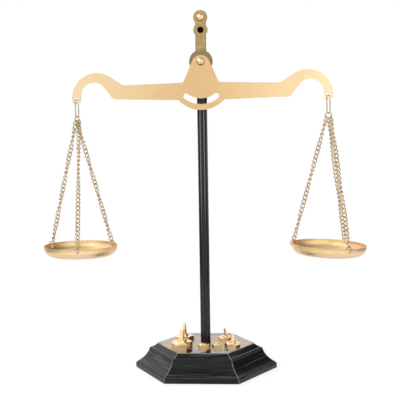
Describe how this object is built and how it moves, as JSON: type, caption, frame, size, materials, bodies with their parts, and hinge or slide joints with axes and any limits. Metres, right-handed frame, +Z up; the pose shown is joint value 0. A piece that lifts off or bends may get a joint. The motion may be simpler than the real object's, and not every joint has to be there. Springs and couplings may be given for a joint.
{
  "type": "balance scale",
  "caption": "Two-pan balance scale: swan-neck beam on a fluted post over a hexagonal moulded base, pans on curb chains, loose weights.",
  "frame": {"origin": "centre of the base's underside, on the table and on the post's axis", "axes": "+X along the beam to the right as seen from the front, +Y from the front to the back, +Z up the post"},
  "size_m": [0.3185, 0.123, 0.3541],
  "materials": {
    "black_wood": "black paint, worn at the mitres",
    "felt": "plain",
    "polished_plate": "mirror polished, warm tint",
    "black_post": "satin black",
    "steel": "plain",
    "olive_brass": "darkened satin",
    "polished_brass": "polished",
    "satin_gold": "matte, fine texture",
    "wire_brass": "pale, satin",
    "spun_brass": "spun satin"
  },
  "bodies": {
    "stand": {"wooden_base": "black_wood", "felt_pad": "felt", "base_plate": "polished_plate", "post": "black_post", "post_washer": "steel", "post_nut": "steel", "hanger": "olive_brass", "hanger_screw": "polished_brass", "pivot_washer": "polished_brass", "pivot_screw": "polished_brass"},
    "beam": {"beam": "satin_gold"},
    "left_link": {"left_link": "wire_brass"},
    "right_link": {"right_link": "wire_brass"},
    "left_pan": {"left_ring": "wire_brass", "left_chain_1": "wire_brass", "left_chain_2": "wire_brass", "left_chain_3": "wire_brass", "left_rim_rings": "wire_brass", "left_pan": "spun_brass"},
    "right_pan": {"right_ring": "wire_brass", "right_chain_1": "wire_brass", "right_chain_2": "wire_brass", "right_chain_3": "wire_brass", "right_rim_rings": "wire_brass", "right_pan": "spun_brass"},
    "weight_1": {"weight_1": "polished_brass"},
    "weight_2": {"weight_2": "polished_brass"},
    "weight_3": {"weight_3": "polished_brass"},
    "weight_4": {"weight_4": "polished_brass"},
    "weight_5": {"weight_5": "polished_brass"},
    "weight_6": {"weight_6": "polished_brass"}
  },
  "joints": [
    {"name": "beam_tilt", "type": "hinge", "parent": "stand", "child": "beam", "pos_m": [0, -0.0084, 0.3048], "axis": [0, 1, 0], "range_deg": [-20, 20]},
    {"name": "left_link_swing", "type": "hinge", "parent": "beam", "child": "left_link", "pos_m": [-0.1228, -0.0084, 0.27], "axis": [0, -1, 0], "range_deg": [-20, 20]},
    {"name": "left_pan_swing", "type": "hinge", "parent": "left_link", "child": "left_pan", "pos_m": [-0.1228, -0.0084, 0.2533], "axis": [1, 0, 0], "range_deg": [-15, 15]},
    {"name": "right_link_swing", "type": "hinge", "parent": "beam", "child": "right_link", "pos_m": [0.1228, -0.0084, 0.27], "axis": [0, -1, 0], "range_deg": [-20, 20]},
    {"name": "right_pan_swing", "type": "hinge", "parent": "right_link", "child": "right_pan", "pos_m": [0.1228, -0.0084, 0.2533], "axis": [1, 0, 0], "range_deg": [-15, 15]},
    {"name": "weight_1_lift", "type": "slide", "parent": "stand", "child": "weight_1", "axis": [0, 0, 1], "range_m": [0, 0.08]},
    {"name": "weight_2_lift", "type": "slide", "parent": "stand", "child": "weight_2", "axis": [0, 0, 1], "range_m": [0, 0.08]},
    {"name": "weight_3_lift", "type": "slide", "parent": "stand", "child": "weight_3", "axis": [0, 0, 1], "range_m": [0, 0.08]},
    {"name": "weight_4_lift", "type": "slide", "parent": "stand", "child": "weight_4", "axis": [0, 0, 1], "range_m": [0, 0.08]},
    {"name": "weight_5_lift", "type": "slide", "parent": "stand", "child": "weight_5", "axis": [0, 0, 1], "range_m": [0, 0.08]},
    {"name": "weight_6_lift", "type": "slide", "parent": "stand", "child": "weight_6", "axis": [0, 0, 1], "range_m": [0, 0.08]}
  ]
}
